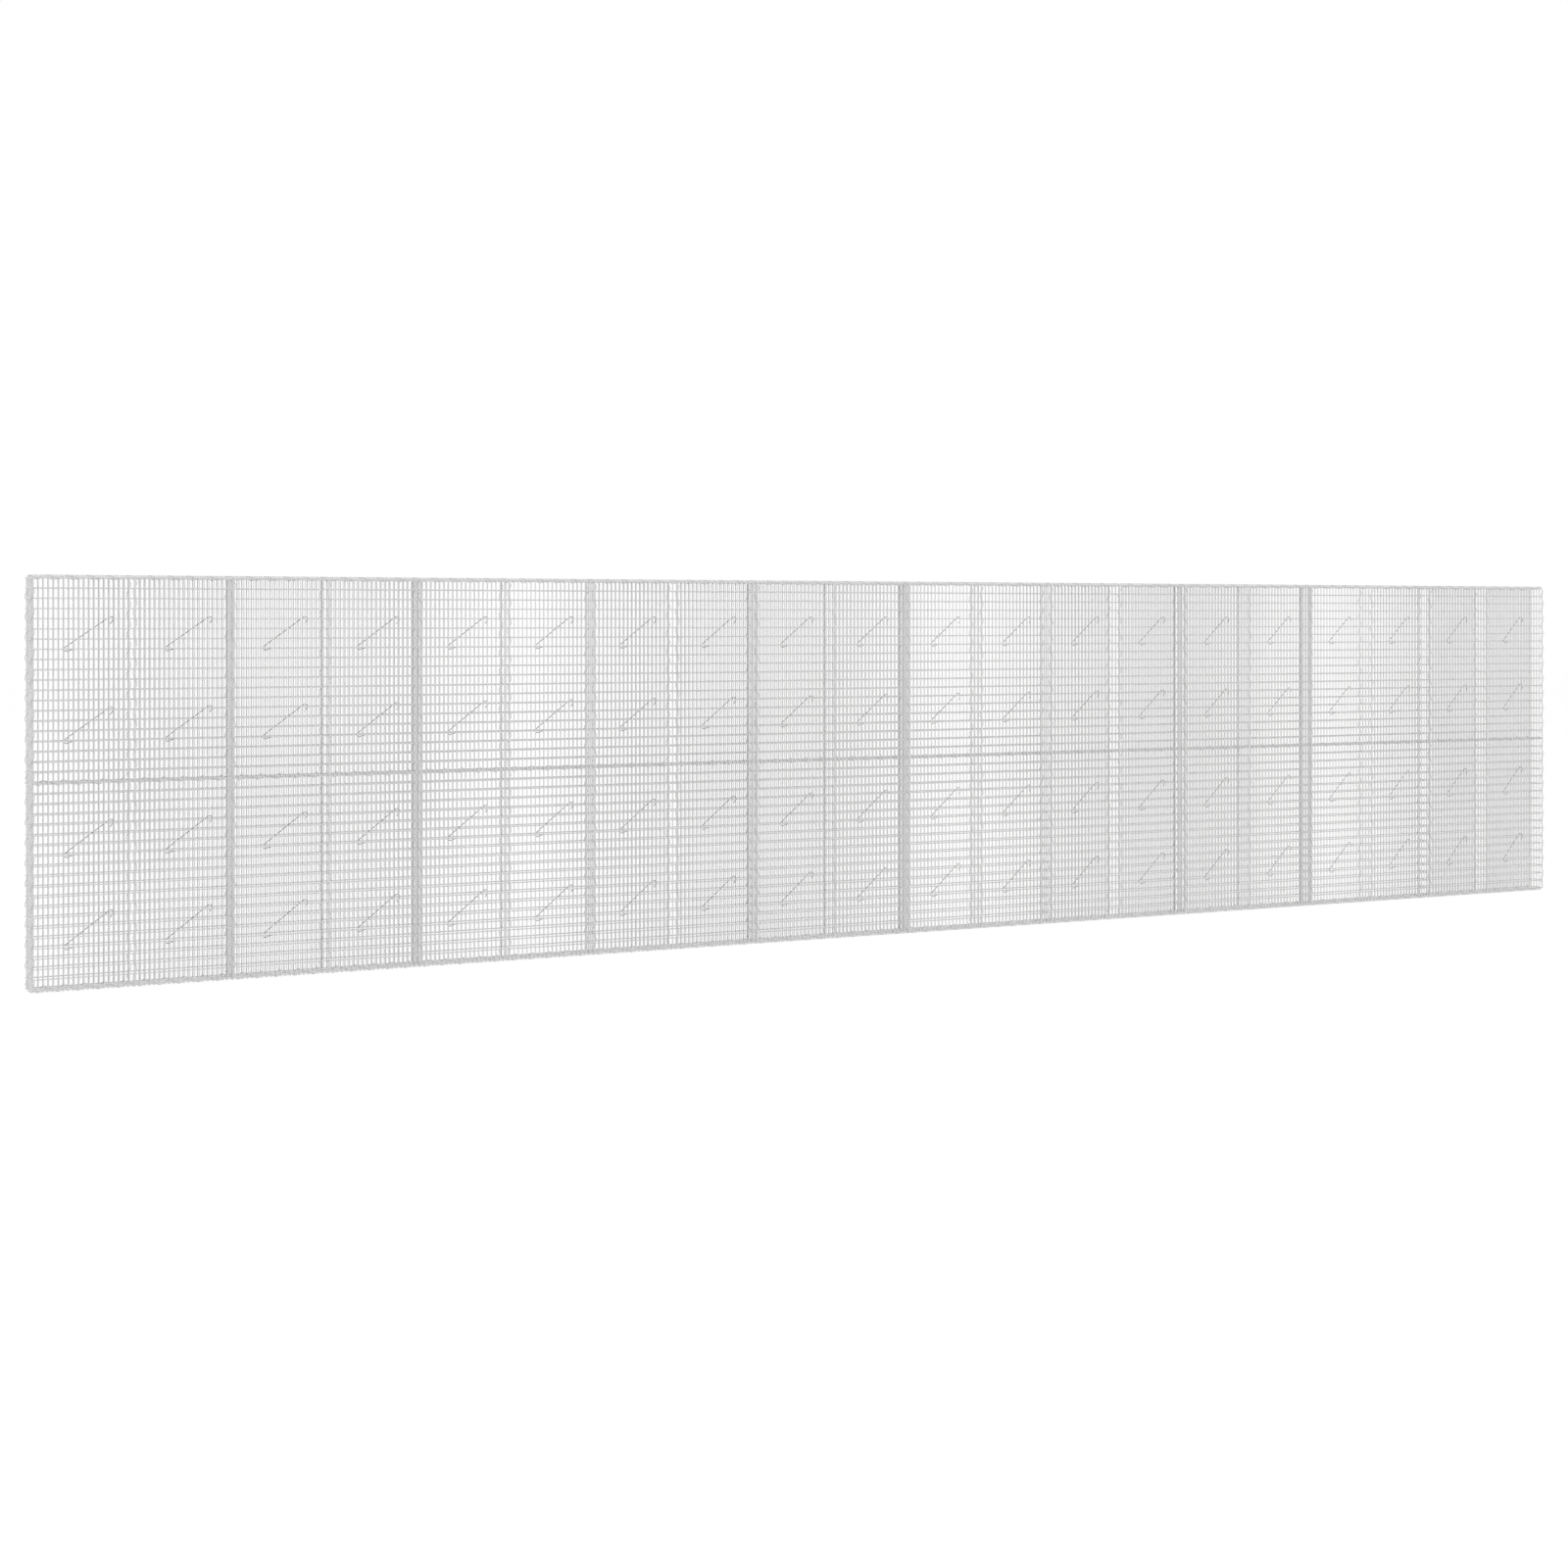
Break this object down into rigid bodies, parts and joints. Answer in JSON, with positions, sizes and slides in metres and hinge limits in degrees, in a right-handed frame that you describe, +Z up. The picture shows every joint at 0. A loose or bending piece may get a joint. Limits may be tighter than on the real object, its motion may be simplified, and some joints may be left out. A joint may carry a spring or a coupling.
{
  "type": "gabion fence",
  "caption": "Long, shallow, empty gabion fence of welded galvanised wire mesh in twenty bays and two tiers, parted into ten cells, laced with spiral binders and tied with slanting hooks.",
  "frame": {"origin": "centre of the footprint, on the ground under the floor mesh", "axes": "+X along the fence to the right seen from the front, +Y from the front face to the back face, +Z up"},
  "size_m": [10.1536, 0.1366, 2.0367],
  "materials": {
    "panel_mesh": "hot-dip galvanised, matt",
    "cover_mesh": "hot-dip galvanised, matt",
    "binder_wire": "galvanised wire, satin",
    "tie_wire": "galvanised wire, satin"
  },
  "bodies": {
    "root": {"front_panels_1": "panel_mesh", "front_panels_2": "panel_mesh", "front_panels_3": "panel_mesh", "front_panels_4": "panel_mesh", "front_panels_5": "panel_mesh", "front_panels_6": "panel_mesh", "front_panels_7": "panel_mesh", "front_panels_8": "panel_mesh", "front_panels_9": "panel_mesh", "front_panels_10": "panel_mesh", "back_panels_1": "panel_mesh", "back_panels_2": "panel_mesh", "back_panels_3": "panel_mesh", "back_panels_4": "panel_mesh", "back_panels_5": "panel_mesh", "back_panels_6": "panel_mesh", "back_panels_7": "panel_mesh", "back_panels_8": "panel_mesh", "back_panels_9": "panel_mesh", "back_panels_10": "panel_mesh", "left_end_panels": "panel_mesh", "right_end_panels": "panel_mesh", "cross_panels": "panel_mesh", "floor_panels": "cover_mesh", "lid_panels": "cover_mesh", "front_upright_binders": "binder_wire", "back_upright_binders": "binder_wire", "corner_binders": "binder_wire", "front_bottom_binders": "binder_wire", "front_middle_binders": "binder_wire", "front_top_binders": "binder_wire", "back_bottom_binders": "binder_wire", "back_middle_binders": "binder_wire", "back_top_binders": "binder_wire", "tie_hooks_tier_1_row_1": "tie_wire", "tie_hooks_tier_1_row_2": "tie_wire", "tie_hooks_tier_2_row_1": "tie_wire", "tie_hooks_tier_2_row_2": "tie_wire"}
  },
  "joints": []
}
